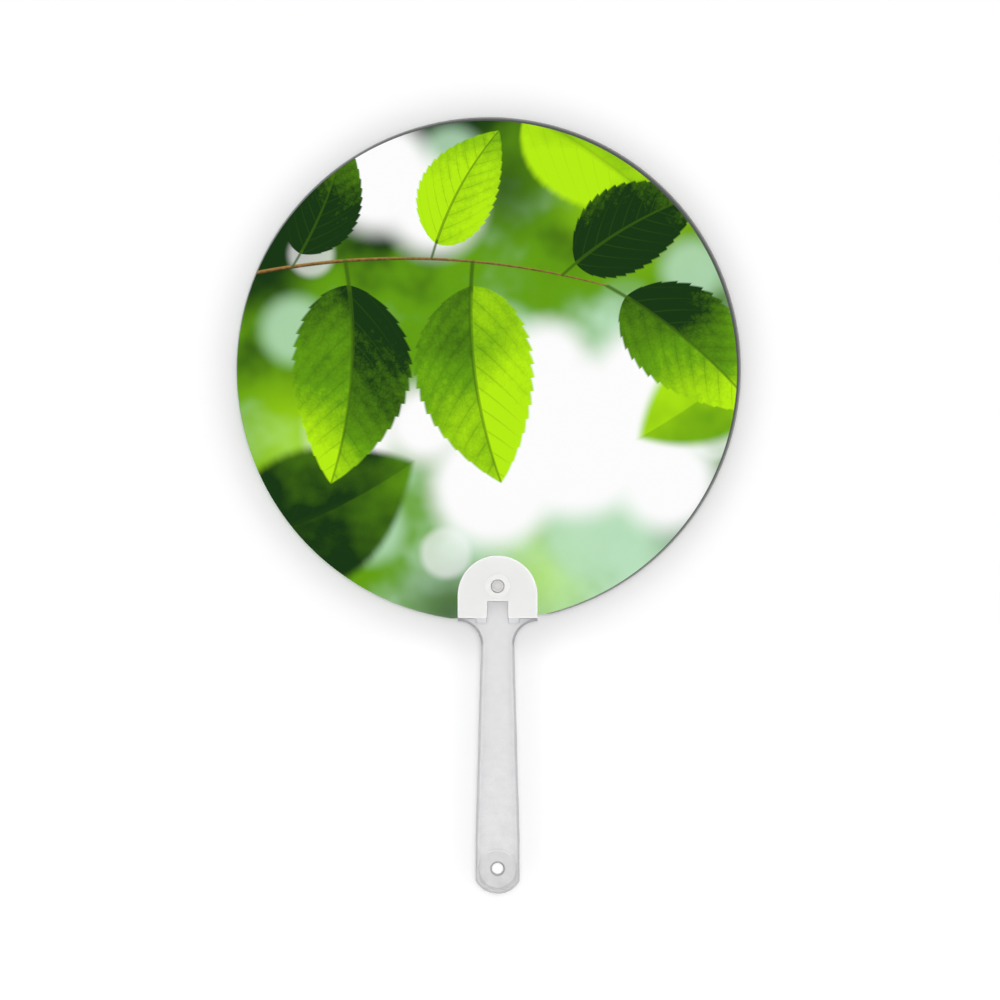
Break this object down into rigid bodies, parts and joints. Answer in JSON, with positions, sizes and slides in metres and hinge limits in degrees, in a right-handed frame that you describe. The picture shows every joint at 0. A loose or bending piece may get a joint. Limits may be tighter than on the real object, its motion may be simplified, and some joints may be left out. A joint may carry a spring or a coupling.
{
  "type": "card hand fan",
  "caption": "Flat hand fan: a round printed card blade, held on a peg between the rear plate and the hinged front flap of a slim moulded plastic handle with a hang hole.",
  "frame": {"origin": "middle of the fan's outline as it lies, on the surface under it", "axes": "+Z out of the front face, +Y along the handle towards the top of the blade, +X to the right"},
  "size_m": [0.2018, 0.3106, 0.0052],
  "materials": {
    "frosted_plastic": "satin",
    "white_plastic": "satin",
    "grey_board": "matte",
    "front_print": "satin",
    "rear_print": "satin"
  },
  "bodies": {
    "handle": {"handle": "frosted_plastic", "hinge_web_left": "frosted_plastic", "hinge_web_right": "frosted_plastic"},
    "flap": {"front_flap": "white_plastic"},
    "blade": {"core_board": "grey_board", "front_print": "front_print", "rear_print": "rear_print"}
  },
  "joints": [
    {"name": "flap_hinge", "type": "hinge", "parent": "handle", "child": "flap", "pos_m": [0.00352, -0.04604, 0.00382], "axis": [1, 0, 0], "range_deg": [0, 95], "deforming": ["hinge_web_left", "hinge_web_right"]},
    {"name": "blade_swivel", "type": "hinge", "parent": "handle", "child": "blade", "pos_m": [0.00352, -0.03234, 0.0025], "axis": [0, 0, 1], "range_deg": [-5.6, 0]}
  ]
}
